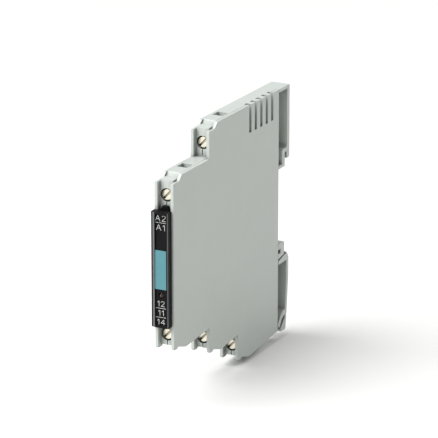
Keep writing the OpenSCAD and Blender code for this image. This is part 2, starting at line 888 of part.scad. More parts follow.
// Break contact, which the spring rests on when the coil is off
module contact_break() {
  u = leaf_u + leaf_t + 2 * rivet_h + fit + 0.1;
  fixed_contact(u, u + slack, pin_places[4] + pin_w - u - slack,
                leaf_u + leaf_t + rivet_h + fit, u + eps);
}

housing_shell();
side_cover();
rail_foot();
label_carrier();
marking_tag();
light_guide();
screw(T_A1);  // screw_a1
screw(T_A2);  // screw_a2
screw(T_12);  // screw_12
screw(T_11);  // screw_11
screw(T_14);  // screw_14
clamp(T_A1);  // clamp_a1
clamp(T_A2);  // clamp_a2
clamp(T_12);  // clamp_12
clamp(T_11);  // clamp_11
clamp(T_14);  // clamp_14
bar(T_A1);  // bar_a1
bar(T_A2);  // bar_a2
bar(T_12);  // bar_12
bar(T_11);  // bar_11
bar(T_14);  // bar_14
circuit_board();
status_led();
rectifier();
suppressor_diode();
series_resistor();
smoothing_capacitor();
relay_base();
relay_case();
relay_pins();
coil_bobbin();
coil_winding();
coil_core();
magnet_yoke();
armature();
pusher_card();
contact_spring();
moving_rivet();
contact_make();
contact_break();
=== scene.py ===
"""Looks of a slim rail-mounted coupling relay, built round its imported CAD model.

Sizes are in millimetres in the CAD model's frame: +Z is up, the front with the label faces -Y,
and the flat side cover faces +X. A mesh is scaled to metres when it becomes a piece.
"""

import logging
import math
from collections.abc import Callable, Iterable
from dataclasses import dataclass, field
from enum import Enum
from functools import cache

import bmesh
import bpy
from mathutils import Matrix, Vector
from mathutils.geometry import intersect_point_line


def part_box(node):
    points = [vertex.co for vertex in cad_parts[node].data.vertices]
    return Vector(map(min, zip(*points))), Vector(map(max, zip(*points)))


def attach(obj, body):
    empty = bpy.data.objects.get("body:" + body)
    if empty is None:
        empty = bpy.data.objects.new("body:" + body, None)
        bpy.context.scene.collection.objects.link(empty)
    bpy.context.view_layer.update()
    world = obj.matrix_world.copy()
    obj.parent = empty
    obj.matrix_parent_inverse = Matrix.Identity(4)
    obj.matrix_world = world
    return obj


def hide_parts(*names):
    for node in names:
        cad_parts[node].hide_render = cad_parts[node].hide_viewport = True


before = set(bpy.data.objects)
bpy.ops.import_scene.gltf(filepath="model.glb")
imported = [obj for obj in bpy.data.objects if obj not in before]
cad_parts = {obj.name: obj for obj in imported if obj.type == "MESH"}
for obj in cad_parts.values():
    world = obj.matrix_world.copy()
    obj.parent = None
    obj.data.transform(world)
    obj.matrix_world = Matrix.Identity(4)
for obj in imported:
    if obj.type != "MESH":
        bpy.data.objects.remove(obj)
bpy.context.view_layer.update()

LOG = logging.getLogger("relay")
Rgba = tuple[float, float, float, float]
Mesh = bmesh.types.BMesh
Edge = bmesh.types.BMEdge
Socket = bpy.types.NodeSocket
Tree = bpy.types.NodeTree

MM = 0.001
MERGE_MM = 0.0005
FLAT = math.radians(0.5)
CORNER = math.radians(33)
SHARP = math.radians(38)
# Edges of a curve turn by more than this, and less than a corner
STRAIGHT = 0.02
# Room that a rounding needs, in radii: beside a corner, to another edge, along its own edge,
# and round a fold that it made
CORNER_ROOM, EDGE_ROOM, OWN_ROOM, FOLD_ROOM = 1.6, 2.1, 0.6, 1.6
# A folded triangle faces away from its face, and is larger than a speck
FOLD_DOT, FOLD_AREA = 0.3, 1e-4
# Rays that look for open air round a point on the surface
AIR_SAMPLES = 8
# A wave texture of scale 1 repeats every tenth of pi
WAVE_PERIOD = math.pi / 10
# Sockets of the colour form of the mix node
MIX_FACTOR, MIX_FIRST, MIX_SECOND, MIX_RESULT = 0, 6, 7, 2


class Body(Enum):
    """The CAD bodies that pieces ride on, apart from the screws and clamps."""

    HOUSING = "housing"
    FOOT = "latch_foot"
    LABEL = "label"
    ARMATURE = "armature_lever"
    PUSHER = "pusher"
    BLADE = "contact_blade"


# ---- colours and nodes ----


def linear(colour: str) -> Rgba:
    """Turns an sRGB hex colour into the linear colour that shader nodes take.

    Args:
        colour: The colour as a hash and six hex digits.

    Returns:
        Linear red, green and blue, and full opacity.
    """
    parts = [int(colour[i:i + 2], 16) / 255 for i in (1, 3, 5)]
    curve = [c / 12.92 if c <= 0.04045 else ((c + 0.055) / 1.055) ** 2.4 for c in parts]
    return (*curve, 1.0)


def add_node(tree: Tree, kind: str, inputs: dict | None = None, **settings) -> bpy.types.Node:
    """Adds one node with its settings, values and links.

    Args:
        tree: The node tree that it goes in.
        kind: The node's type name.
        inputs: A value, or an output to link from, for each input's name or number.
        **settings: Values of the node's own properties.

    Returns:
        The new node.
    """
    node = tree.nodes.new(kind)
    for name, value in settings.items():
        setattr(node, name, value)
    for key, value in (inputs or {}).items():
        if isinstance(value, Socket):
            tree.links.new(value, node.inputs[key])
        else:
            node.inputs[key].default_value = value
    return node


def per_mm(size: float) -> float:
    """Gives the texture scale, in repeats per metre, of a pattern of that size in mm."""
    return 1 / (size * MM)


# ---- finishes ----


@dataclass(frozen=True)
class Finish:
    """A surface: slow patches of a second shade, uneven gloss, and a fine relief."""

    slot: str
    colour: str
    shade: str
    roughness: float
    ior: float = 1.5
    metallic: float = 0.0
    coat: float = 0.0
    patch_mm: float = 7.0
    patch_detail: float = 3.0
    grain_mm: float = 0.45
    grain_detail: float = 4.0
    grain_mix: float = 0.6
    grain_depth_mm: float = 0.006
    gloss_spread: float = 0.12
    bump: float = 0.5
    specular: float = 0.5
    # Painted shade: narrow places, up to the width below, are darkened towards the shade colour
    # below
    painted_shade_mm: float = 0.0
    painted_shade_power: float = 1.0
    painted_shade_colour: str = "#1c1d1c"
    stretch: tuple[float, float, float] = (1.0, 1.0, 1.0)

    def tint(self, tree: Tree, place: Socket) -> Socket:
        """Mixes the two shades by a slow noise, and darkens narrow places with painted shade.

        Args:
            tree: The material's tree.
            place: The point on the surface.

        Returns:
            The colour.
        """
        patches = add_node(tree, "ShaderNodeTexNoise",
                           {"Vector": place, "Scale": per_mm(self.patch_mm),
                            "Detail": self.patch_detail})
        mixed = add_node(tree, "ShaderNodeMix",
                         {MIX_FACTOR: patches.outputs["Fac"], MIX_FIRST: linear(self.colour),
                          MIX_SECOND: linear(self.shade)}, data_type="RGBA")
        if not self.painted_shade_mm:
            return mixed.outputs[MIX_RESULT]
        # Painted shade: ambient occlusion darkens recesses, slots and gaps
        openness = add_node(tree, "ShaderNodeAmbientOcclusion", {"Distance": self.painted_shade_mm * MM},
                            samples=AIR_SAMPLES)
        unshaded = add_node(tree, "ShaderNodeMath", {0: openness.outputs["AO"], 1: self.painted_shade_power},
                         operation="POWER")
        return add_node(tree, "ShaderNodeMix",
                        {MIX_FACTOR: unshaded.outputs["Value"], MIX_FIRST: linear(self.painted_shade_colour),
                         MIX_SECOND: mixed.outputs[MIX_RESULT]},
                        data_type="RGBA").outputs[MIX_RESULT]

    def relief(self, tree: Tree, place: Socket) -> Socket:
        """Makes the height of the fine grain, from 0 to 1.

        Args:
            tree: The material's tree.
            place: The point on the surface.

        Returns:
            The height.
        """
        grain = add_node(tree, "ShaderNodeTexNoise",
                         {"Vector": place, "Scale": per_mm(self.grain_mm),
                          "Detail": self.grain_detail, "Roughness": self.grain_mix})
        return grain.outputs["Fac"]

    def extras(self, shader: bpy.types.Node) -> None:
        """Sets what only some finishes have on the shader's own sockets."""

    @cache
    def material(self) -> bpy.types.Material:
        """Builds the material once.

        Returns:
            The material, named after its slot.
        """
        material = bpy.data.materials.new(self.slot)
        material.use_nodes = True
        tree = material.node_tree
        shader = tree.nodes["Principled BSDF"]
        point = add_node(tree, "ShaderNodeTexCoord").outputs["Object"]
        place = add_node(tree, "ShaderNodeMapping",
                         {"Vector": point, "Scale": self.stretch}).outputs["Vector"]
        tree.links.new(self.tint(tree, place), shader.inputs["Base Color"])
        height = self.relief(tree, place)
        gloss = add_node(tree, "ShaderNodeMapRange",
                         {"Value": height, "To Min": self.roughness * (1 - self.gloss_spread),
                          "To Max": min(1.0, self.roughness * (1 + self.gloss_spread))})
        tree.links.new(gloss.outputs["Result"], shader.inputs["Roughness"])
        bump = add_node(tree, "ShaderNodeBump",
                        {"Height": height, "Strength": self.bump,
                         "Distance": self.grain_depth_mm * MM})
        tree.links.new(bump.outputs["Normal"], shader.inputs["Normal"])
        shader.inputs["Metallic"].default_value = self.metallic
        shader.inputs["Coat Weight"].default_value = self.coat
        if not self.metallic:
            shader.inputs["IOR"].default_value = self.ior
            shader.inputs["Specular IOR Level"].default_value = self.specular
        self.extras(shader)
        return material


@dataclass(frozen=True)
class ClearPlastic(Finish):
    """Transparent moulded plastic, which shows what lies behind it."""

    clearness: float = 1.0

    def extras(self, shader: bpy.types.Node) -> None:
        """Lets light through."""
        shader.inputs["Transmission Weight"].default_value = self.clearness


@dataclass(frozen=True)
class Laminate(Finish):
    """Solder mask over woven glass, whose threads show as a faint grid."""

    thread_mm: float = 0.5

    def relief(self, tree: Tree, place: Socket) -> Socket:
        """Adds the weave's two sets of threads.

        Args:
            tree: The material's tree.
            place: The point on the surface.

        Returns:
            The height.
        """
        scale = WAVE_PERIOD / (self.thread_mm * MM)
        warp = add_node(tree, "ShaderNodeTexWave", {"Vector": place, "Scale": scale},
                        bands_direction="Y")
        weft = add_node(tree, "ShaderNodeTexWave", {"Vector": place, "Scale": scale},
                        bands_direction="Z")
        both = add_node(tree, "ShaderNodeMath",
                        {0: warp.outputs["Fac"], 1: weft.outputs["Fac"]}, operation="MULTIPLY")
        return both.outputs["Value"]


@dataclass(frozen=True)
class Banded(Finish):
    """A lacquered round part with printed rings across its length."""

    along: str = "Y"
    bands: tuple[tuple[float, float, str], ...] = ()

    def tint(self, tree: Tree, place: Socket) -> Socket:
        """Lays each ring over the body's colour.

        Args:
            tree: The material's tree.
            place: The point on the surface.

        Returns:
            The colour.
        """
        colour = super().tint(tree, place)
        axis = add_node(tree, "ShaderNodeSeparateXYZ", {"Vector": place}).outputs[self.along]
        for centre, half, ring in self.bands:
            inside = add_node(tree, "ShaderNodeMath", {0: axis, 1: centre * MM, 2: half * MM},
                              operation="COMPARE")
            colour = add_node(tree, "ShaderNodeMix",
                              {MIX_FACTOR: inside.outputs["Value"], MIX_FIRST: colour,
                               MIX_SECOND: linear(ring)}, data_type="RGBA").outputs[MIX_RESULT]
        return colour


@dataclass(frozen=True)
class Lamp(Finish):
    """Tinted epoxy lens of a lamp that is off, with a little glow of its own."""

    glow: float = 0.06

    def extras(self, shader: bpy.types.Node) -> None:
        """Adds the faint glow."""
        shader.inputs["Emission Color"].default_value = linear(self.colour)
        shader.inputs["Emission Strength"].default_value = self.glow


# Polyamide, moulded in a spark-eroded tool: an even, fine matt grain. The real grain is under
# 0.1 mm and would not show, so it is drawn coarser.
# Recesses and gaps up to 2 mm wide get painted shade, darker the narrower they are.
SHELL = Finish("shell_plastic", "#b1b6b2", "#abb1ac", 0.36, grain_mm=0.35,
               painted_shade_mm=2.0, painted_shade_power=0.8)
# Black polyamide with carbon black right through: matt, and it gives back little light
BLACK = Finish("black_plastic", "#0c0c0d", "#09090a", 0.5, grain_mm=0.3, grain_depth_mm=0.004,
               specular=0.12)
# The same plastic in grey, as a painted reflection along its bevelled edges
PAINTED_REFLECTION = Finish("black_plastic", "#595b5d", "#4b4d50", 0.45, grain_mm=0.3, patch_mm=3.0)
# Polycarbonate marking tag: matt, so that a pen or printer marks it
TAG = Finish("tag_plastic", "#4a8189", "#457b83", 0.5, grain_mm=0.25, patch_mm=4.0)
# Acrylic light guide: polished and clear
CLEAR = ClearPlastic("clear_plastic", "#f4f2ee", "#eeeeea", 0.08, ior=1.49, grain_depth_mm=0.001)
# Nickel-plated steel: a warm, bright metal, with painted shade darkening its slot and the narrow
# ring round its head
NICKEL = Finish("screw_nickel", "#efe9d8", "#dcd5c0", 0.3, metallic=1.0, patch_mm=1.6,
                grain_mm=0.2, painted_shade_mm=0.7, painted_shade_power=1.5, painted_shade_colour="#15120c")
# Zinc-plated steel sheet: cooler and duller, with drawn lines along the sheet
ZINC = Finish("clamp_zinc", "#c3c6c9", "#a9adb3", 0.38, metallic=1.0, patch_mm=2.0,
              grain_mm=0.5, stretch=(1.0, 0.25, 1.0))
# Tinned copper alloy strip: copper colour dulled by its tin
COPPER_BAR = Finish("bar_copper", "#c98a63", "#b57248", 0.34, metallic=1.0, patch_mm=2.0,
                    grain_mm=0.4, stretch=(1.0, 1.0, 0.25))
# Glass-epoxy laminate under green solder mask: glossy, with the weave showing through
BOARD = Laminate("board_laminate", "#2c6e47", "#23603c", 0.28, ior=1.55, coat=0.3,
                 grain_depth_mm=0.01)
# Epoxy lens of the status lamp
LAMP = Lamp("lamp_red", "#b23b2d", "#963026", 0.2, ior=1.55)
# Moulded black epoxy of the small components: matt from its filler
EPOXY = Banded("dark_epoxy", "#2b2c30", "#232428", 0.5, grain_mm=0.2,
               bands=((-30.2, 0.35, "#c9cbcd"),))
# Blue-grey lacquer of a metal film resistor, with five value rings
RESISTOR = Banded("resistor_body", "#8fb7c4", "#84abb9", 0.3, coat=0.4,
                  bands=((-23.9, 0.25, "#7a3b1e"), (-22.8, 0.25, "#161616"),
                         (-21.7, 0.25, "#161616"), (-20.6, 0.25, "#c0432b"),
                         (-18.9, 0.25, "#7a3b1e")))
# Shrunk vinyl sleeve of the capacitor, with a paler stripe round its base
SLEEVE = Banded("capacitor_sleeve", "#5a4a8a", "#524380", 0.3, along="Z",
                bands=((-7.4, 0.3, "#d5d2e6"),))
# Polycarbonate of the relay's case: glossy blue that lets a little light through
RELAY = ClearPlastic("relay_plastic", "#3b5e86", "#35567c", 0.2, ior=1.58, clearness=0.25)
# Tinned pins and solder: soft white metal
TIN = Finish("pin_tin", "#d9dbde", "#c6c9cd", 0.32, metallic=1.0, patch_mm=1.0, grain_mm=0.2)
# Natural glass-filled polyester of the coil former and pusher card
NATURAL = Finish("bobbin_plastic", "#e8e4da", "#dfdacd", 0.5, grain_mm=0.3)
# Enamelled copper wire: copper under a thin clear varnish
WIRE = Finish("copper_wire", "#c0703c", "#a85c2c", 0.28, metallic=1.0, coat=0.6, patch_mm=1.2,
              grain_mm=0.3)
# Plated soft iron of the magnet: grey, slightly streaked by pressing
IRON = Finish("soft_iron", "#9a9ea3", "#83878d", 0.4, metallic=1.0, patch_mm=2.5, grain_mm=0.3)
# Phosphor bronze strip of the contact springs: rolled, so its lines run along the strip
BRONZE = Finish("spring_brass", "#cba457", "#b98f42", 0.3, metallic=1.0, patch_mm=2.0,
                grain_mm=0.3, stretch=(1.0, 1.0, 0.3))
# Silver alloy contacts: bright and nearly white
SILVER = Finish("contact_silver", "#e2e3e5", "#d2d3d6", 0.22, metallic=1.0, patch_mm=0.8,
                grain_mm=0.15)
# White pad-printing ink: matt and slightly uneven
INK = Finish("black_plastic", "#cfd1cf", "#bfc1bf", 0.55, grain_mm=0.2, patch_mm=1.0)
# The floor's rolled coat of pale paint: matt, with a slight orange peel
PAINT = Finish("floor_paint", "#dadad8", "#d7d7d5", 0.8, patch_mm=300.0, grain_mm=3.0,
               grain_depth_mm=0.02)


# ---- mesh helpers ----


def cad_mesh(node: str) -> Mesh:
    """Copies a CAD node's mesh in millimetres, with its seams merged and its flats made whole.

    Args:
        node: The node's name.

    Returns:
        The mesh.
    """
    bm = bmesh.new()
    bm.from_mesh(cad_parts[node].data)
    bmesh.ops.scale(bm, vec=(1 / MM,) * 3, verts=bm.verts)
    bmesh.ops.remove_doubles(bm, verts=bm.verts, dist=MERGE_MM)
    bmesh.ops.dissolve_limit(bm, angle_limit=FLAT, verts=bm.verts, edges=bm.edges)
    return bm


def regions(bm: Mesh) -> dict[int, int]:
    """Groups the faces that lie in one plane and touch.

    Args:
        bm: The mesh, with its face numbers up to date.

    Returns:
        The number of each face's group.
    """
    group: dict[int, int] = {}
    for seed in bm.faces:
        if seed.index in group:
            continue
        group[seed.index] = seed.index
        open_faces = [seed]
        while open_faces:
            face = open_faces.pop()
            for edge in face.edges:
                for near in edge.link_faces:
                    if near.index not in group and edge.calc_face_angle(0) < 2 * FLAT:
                        group[near.index] = seed.index
                        open_faces.append(near)
    return group


def turning(edge: Edge, near: Edge) -> float:
    """Gives the angle between two edges that share a corner, zero if they run straight on."""
    shared = next(v for v in edge.verts if v in near.verts)
    inwards = shared.co - edge.other_vert(shared).co
    outwards = near.other_vert(shared).co - shared.co
    return inwards.angle(outwards)


def gap(edge: Edge, other: Edge) -> float:
    """Gives the distance between two edges of one plane."""
    ways = []
    for one, two in ((edge, other), (other, edge)):
        start, end = (v.co for v in two.verts)
        for vert in one.verts:
            _, share = intersect_point_line(vert.co, start, end)
            ways.append((vert.co - start.lerp(end, min(1.0, max(0.0, share)))).length)
    return min(ways)


def roomy(bm: Mesh, edges: list[Edge], radius: float) -> list[Edge]:
    """Keeps the edges that can be rounded without running into what lies near them.

    Args:
        bm: The mesh, with its numbers up to date.
        edges: The edges to choose from.
        radius: The radius that they would get.

    Returns:
        The edges with room. A curve made of short edges is kept or left as a whole.
    """
    group = regions(bm)
    rims: dict[int, list[Edge]] = {}
    for edge in bm.edges:
        planes = {group[f.index] for f in edge.link_faces}
        if len(planes) > 1:
            for number in planes:
                rims.setdefault(number, []).append(edge)
    chosen = set(edges)
    curves = {e: {n for v in e.verts for n in v.link_edges
                  if n is not e and n in chosen and STRAIGHT < turning(e, n) < CORNER}
              for e in edges}

    def free(edge: Edge) -> bool:
        """Tells whether nothing is too close beside the edge in either of its planes."""
        near = curves[edge]
        near = near.union(*(curves[n] for n in near))
        for number in {group[f.index] for f in edge.link_faces}:
            for other in rims.get(number, ()):
                if other is edge or other in near:
                    continue
                if set(other.verts) & set(edge.verts):
                    turn = turning(edge, other)
                    width = other.calc_length() * math.sin(turn)
                    if CORNER < turn and width < CORNER_ROOM * radius:
                        return False
                elif gap(edge, other) < EDGE_ROOM * radius:
                    return False
        return edge.calc_length() > OWN_ROOM * radius or bool(near)

    left_out = [e for e in edges if not free(e)]
    dropped = set(left_out)
    while left_out:
        for near in curves[left_out.pop()]:
            if near not in dropped:
                dropped.add(near)
                left_out.append(near)
    return [e for e in edges if e not in dropped]


def torn(bm: Mesh) -> list[Vector]:
    """Finds where a mesh's faces fold over themselves.

    Args:
        bm: The mesh.

    Returns:
        The corners of the folded faces.
    """
    bm.normal_update()
    points = []
    for loops in bm.calc_loop_triangles():
        a, b, c = (loop.vert.co for loop in loops)
        normal = (b - a).cross(c - a)
        face = loops[0].face
        if normal.length > FOLD_AREA and normal.normalized().dot(face.normal) < FOLD_DOT:
            points += [vert.co.copy() for vert in face.verts]
    return points


def ease(bm: Mesh, radius: float, segments: int = 2,
         keep: Callable[[Edge], bool] = lambda edge: True) -> Mesh:
    """Rounds the outer edges of a mesh, as a mould or a tumbling barrel leaves them.

    Edges whose rounding would fold a face are left sharp.

    Args:
        bm: The mesh in millimetres, which is used up.
        radius: The radius of the rounding.
        segments: The number of faces across it.
        keep: Tells whether an edge is one of those to round.

    Returns:
        The rounded mesh.
    """
    bm.edges.index_update()
    bm.faces.index_update()
    outer = [e for e in bm.edges if e.is_manifold and e.is_convex
             and e.calc_face_angle() > CORNER and keep(e)]
    places = [e.index for e in roomy(bm, outer, radius)]
    while True:
        eased = bm.copy()
        eased.edges.ensure_lookup_table()
        bmesh.ops.bevel(eased, geom=[eased.edges[i] for i in places], offset=radius,
                        offset_type="OFFSET", segments=segments, profile=0.5, affect="EDGES",
                        clamp_overlap=False)
        bmesh.ops.dissolve_degenerate(eased, dist=MERGE_MM, edges=eased.edges)
        folds = torn(eased)
        if not folds or not places:
            bm.free()
            return eased
        bm.edges.ensure_lookup_table()
        left = [i for i in places if all((v.co - p).length > FOLD_ROOM * radius
                                         for v in bm.edges[i].verts for p in folds)]
        places = left if len(left) < len(places) else []
        eased.free()


def block(low: Iterable[float], high: Iterable[float]) -> Mesh:
    """Makes a box between two corners.

    Args:
        low: The lowest corner.
        high: The highest corner.

    Returns:
        The mesh.
    """
    low, high = Vector(low), Vector(high)
    bm = bmesh.new()
    size = high - low
    matrix = Matrix.Translation((low + high) / 2) @ Matrix.Diagonal((*size, 1))
    bmesh.ops.create_cube(bm, size=1, matrix=matrix)
    return bm


def rings(loops: list[list[Vector]]) -> Mesh:
    """Joins closed loops of points one after another and caps both ends.

    Args:
        loops: The loops, each with the same number of points.

    Returns:
        The mesh, with its normals outwards.
    """
    bm = bmesh.new()
    made = [[bm.verts.new(p) for p in loop] for loop in loops]
    for near, far in zip(made, made[1:]):
        for i in range(len(near)):
            bm.faces.new((near[i - 1], near[i], far[i], far[i - 1]))
    bm.faces.new(made[0])
    bm.faces.new(reversed(made[-1]))
    bmesh.ops.recalc_face_normals(bm, faces=bm.faces)
    return bm


def carve(bm: Mesh, cutter: Mesh) -> Mesh:
    """Cuts one closed mesh out of another.

    Args:
        bm: The mesh that is cut, which is used up.
        cutter: The mesh that is taken away, which is used up.

    Returns:
        What is left.
    """
    solids = []
    for part in (bm, cutter):
        mesh = bpy.data.meshes.new("blank")
        part.to_mesh(mesh)
        part.free()
        solids.append(bpy.data.objects.new("blank", mesh))
        bpy.context.scene.collection.objects.link(solids[-1])
    cut = solids[0].modifiers.new("cut", "BOOLEAN")
    cut.operation = "DIFFERENCE"
    cut.solver = "EXACT"
    cut.object = solids[1]
    left = bmesh.new()
    left.from_object(solids[0], bpy.context.evaluated_depsgraph_get())
    for solid in solids:
        mesh = solid.data
        bpy.data.objects.remove(solid)
        bpy.data.meshes.remove(mesh)
    return left


def join(parts: Iterable[Mesh]) -> Mesh:
    """Puts several meshes into one.

    Args:
        parts: The meshes, which are used up.

    Returns:
        The joined mesh.
    """
    whole = bmesh.new()
    for part in parts:
        mesh = bpy.data.meshes.new("part")
        part.to_mesh(mesh)
        part.free()
        whole.from_mesh(mesh)
        bpy.data.meshes.remove(mesh)
    return whole


def limits(node: str) -> tuple[Vector, Vector]:
    """Gives a CAD node's lowest and highest corners in millimetres."""
    low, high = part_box(node)
    return low / MM, high / MM


def add_piece(name: str, bm: Mesh, finish: Finish, body: str, *nodes: str) -> bpy.types.Object:
    """Turns a mesh into a piece that rides on a body and stands for CAD nodes.

    Args:
        name: The piece's name.
        bm: Its mesh in millimetres, which is used up.
        finish: Its finish.
        body: The body that it rides on.
        *nodes: The CAD nodes that it replaces.

    Returns:
        The piece.
    """
    bmesh.ops.scale(bm, vec=(MM,) * 3, verts=bm.verts)
    for face in bm.faces:
        face.smooth = True
    for edge in bm.edges:
        edge.smooth = edge.is_manifold and edge.calc_face_angle() < SHARP
    mesh = bpy.data.meshes.new(name)
    bm.to_mesh(mesh)
    bm.free()
    mesh.materials.append(finish.material())
    piece = bpy.data.objects.new(name, mesh)
    bpy.context.scene.collection.objects.link(piece)
    shading = piece.modifiers.new("even_shading", "WEIGHTED_NORMAL")
    shading.keep_sharp = True
    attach(piece, body)
    if nodes:
        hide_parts(*nodes)
    LOG.info("%s: %d faces, on %s", name, len(mesh.polygons), body)
    return piece


# ---- assemblies ----


@dataclass
class Casing:
    """The shell with its rail hook, the flat side cover, and the sprung latch foot."""

    edge_r: float = 0.22
    foot_edge_r: float = 0.2
    # The band of places from front to back that the vents take up, whose edges stay crisp
    vents_y: tuple[float, float] = (-26.1, -8.7)
    vents_z: float = 28.0
    vent_len: float = 12.0

    def outside_vents(self, edge: Edge) -> bool:
        """Tells whether an edge is none of the vents' edges."""
        middle = (edge.verts[0].co + edge.verts[1].co) / 2
        in_band = self.vents_y[0] < middle.y < self.vents_y[1] and middle.z > self.vents_z
        return not in_band or edge.calc_length() > self.vent_len

    def build(self) -> None:
        """Builds the three mouldings."""
        add_piece("shell_moulding", ease(cad_mesh("housing_shell"), self.edge_r,
                                         keep=self.outside_vents), SHELL,
                  Body.HOUSING.value, "housing_shell")
        add_piece("cover_moulding", ease(cad_mesh("side_cover"), self.edge_r,
                                         keep=self.outside_vents), SHELL,
                  Body.HOUSING.value, "side_cover")
        add_piece("foot_moulding", ease(cad_mesh("rail_foot"), self.foot_edge_r), SHELL,
                  Body.FOOT.value, "rail_foot")


@dataclass
class Front:
    """The clip-on label carrier with its printed marks, the tag, and the light guide."""

    edge_r: float = 0.1
    ink_mm: float = 0.02
    panel_depth: float = 0.5
    mark_x: float = -0.08
    line_half: float = 1.8
    line_h: float = 0.11
    stroke_w: float = 0.14
    cap_steps: int = 6
    # Each mark, the height of its middle and its letters' height
    marks: tuple[tuple[str, float, float], ...] = (
        ("A2", 16.85, 1.8), ("A1", 13.85, 1.8), ("12", -11.1, 1.7), ("11", -14.1, 1.7),
        ("14", -17.1, 1.7))
    lines: tuple[float, ...] = (15.35, -12.6, -15.6)
    # Each letter's width and strokes, in letter heights from its lower left corner
    strokes: dict[str, tuple[float, tuple[tuple[tuple[float, float], ...], ...]]] = field(
        default_factory=lambda: {
            "A": (0.86, (((0.0, 0.0), (0.43, 1.0), (0.86, 0.0)), ((0.15, 0.34), (0.71, 0.34)))),
            "1": (0.34, (((0.02, 0.74), (0.32, 1.0), (0.32, 0.0)),)),
            "2": (0.68, (((0.02, 0.76), (0.12, 0.93), (0.34, 1.0), (0.57, 0.93), (0.67, 0.75),
                          (0.56, 0.54), (0.0, 0.0), (0.68, 0.0)),)),
            "4": (0.76, (((0.58, 0.0), (0.58, 1.0), (0.0, 0.28), (0.76, 0.28)),))})
    letter_gap: float = 0.4
    carrier_top: float = 18.8
    strip_w: float = 1.4
    strip_slope: float = 0.3
    chamfer: float = 0.25
    strip_t: float = 0.012
    strip_back: float = 0.02
    collar_w: float = 0.6
    collar_y: float = -74.05
    guide_edge: float = 0.08
    dome: float = 0.35
    dome_steps: int = 6
    round_steps: int = 32

    def stroke(self, path: tuple[tuple[float, float], ...], height: float) -> list[Mesh]:
        """Draws a path of straight strokes with rounded joints as layers of ink.

        Args:
            path: The corners, in letter heights.
            height: The letters' height.

        Returns:
            One mesh for each stroke, facing -Y.
        """
        half = self.stroke_w / 2
        parts = []
        for corners in zip(path, path[1:]):
            a, b = (Vector((x * height, 0, z * height)) for x, z in corners)
            way = (b - a).normalized()
            lean = math.atan2(way.z, way.x)
            outline = []
            for end, first in ((a, lean + math.pi / 2), (b, lean - math.pi / 2)):
                for i in range(self.cap_steps + 1):
                    turn = first + math.pi * i / self.cap_steps
                    outline.append(end + half * Vector((math.cos(turn), 0, math.sin(turn))))
            parts.append(rings([[p + Vector((0, y, 0)) for p in outline]
                                for y in (-self.ink_mm / 2, self.ink_mm / 2)]))
        return parts

    def printed_mark(self, text: str, height: float) -> Mesh:
        """Makes a terminal number as a thin layer of ink, round the middle of its front.

        Args:
            text: The terminal's number.
            height: The letters' height.

        Returns:
            The mesh, which faces -Y.
        """
        widths = [self.strokes[letter][0] * height for letter in text]
        gap_w = self.letter_gap * height
        x = -(sum(widths) + gap_w * (len(text) - 1)) / 2
        parts = []
        for letter, width in zip(text, widths):
            for path in self.strokes[letter][1]:
                for part in self.stroke(path, height):
                    bmesh.ops.translate(part, vec=(x, 0, -height / 2), verts=part.verts)
                    parts.append(part)
            x += width + gap_w
        return join(parts)

    def printing(self, panel_y: float) -> Mesh:
        """Makes all the marks and the lines between them.

        Args:
            panel_y: The place of the panel that carries them.

        Returns:
            The mesh.
        """
        parts = []
        for text, z, height in self.marks:
            mark = self.printed_mark(text, height)
            bmesh.ops.translate(mark, vec=(self.mark_x, panel_y, z), verts=mark.verts)
            parts.append(mark)
        for z in self.lines:
            low = (self.mark_x - self.line_half, panel_y - self.ink_mm / 2, z - self.line_h / 2)
            high = (self.mark_x + self.line_half, panel_y + self.ink_mm / 2, z + self.line_h / 2)
            parts.append(block(low, high))
        return join(parts)

    def painted_reflection_edges(self) -> Mesh:
        """Lays a grey skin of painted reflection on the carrier's sloping left edge and its right
        chamfer.

        Returns:
            The mesh.
        """
        low, high = limits("label_carrier")
        base, top = low.z + self.edge_r, self.carrier_top - self.edge_r
        left = (Vector((low.x + self.edge_r, low.y + self.strip_slope, 0)),
                Vector((low.x + self.strip_w - self.edge_r, low.y + self.strip_back, 0)))
        right = (Vector((high.x - self.chamfer, low.y + self.strip_back, 0)),
                 Vector((high.x, low.y + self.chamfer, 0)))
        parts = []
        for start, end in (left, right):
            out = (end - start).cross(Vector((0, 0, 1))).normalized() * self.strip_t
            outline = [start - out, start + out, end + out, end - out]
            parts.append(rings([[p + Vector((0, 0, z)) for p in outline] for z in (base, top)]))
        return join(parts)

    def guide(self) -> Mesh:
        """Makes the light guide as a turned rod with a domed front and a collar.

        Returns:
            The mesh.
        """
        low, high = limits("light_guide")
        collar_r = (high.x - low.x) / 2
        rod_r = collar_r - self.collar_w
        z = (low.z + high.z) / 2
        edge, start, end = self.guide_edge, self.collar_y, self.collar_y + self.collar_w
        turns = [math.pi / 2 * (1 - i / self.dome_steps) for i in range(self.dome_steps + 1)]
        turns[0] -= FLAT
        profile = [(low.y + rod_r * self.dome * (1 - math.sin(a)), rod_r * math.cos(a))
                   for a in turns]
        profile += [(start, rod_r), (start, collar_r - edge), (start + edge, collar_r),
                    (end - edge, collar_r), (end, collar_r - edge), (end, rod_r),
                    (high.y - edge, rod_r), (high.y, rod_r - edge)]
        steps = [2 * math.pi * i / self.round_steps for i in range(self.round_steps)]
        return rings([[Vector((r * math.cos(a), y, z + r * math.sin(a))) for a in steps]
                      for y, r in profile])

    def build(self) -> None:
        """Builds the pieces of the front."""
        add_piece("label_moulding", ease(cad_mesh("label_carrier"), self.edge_r), BLACK,
                  Body.LABEL.value, "label_carrier")
        add_piece("tag_plate", ease(cad_mesh("marking_tag"), self.edge_r), TAG,
                  Body.LABEL.value, "marking_tag")
        panel_y = limits("label_carrier")[0].y + self.panel_depth
        add_piece("printed_numbers", self.printing(panel_y), INK, Body.LABEL.value)
        # Painted reflection: a grey skin on the carrier's bevelled edges
        add_piece("painted_reflection_edges", self.painted_reflection_edges(), PAINTED_REFLECTION, Body.LABEL.value)
        add_piece("guide_rod", self.guide(), CLEAR, Body.HOUSING.value, "light_guide")


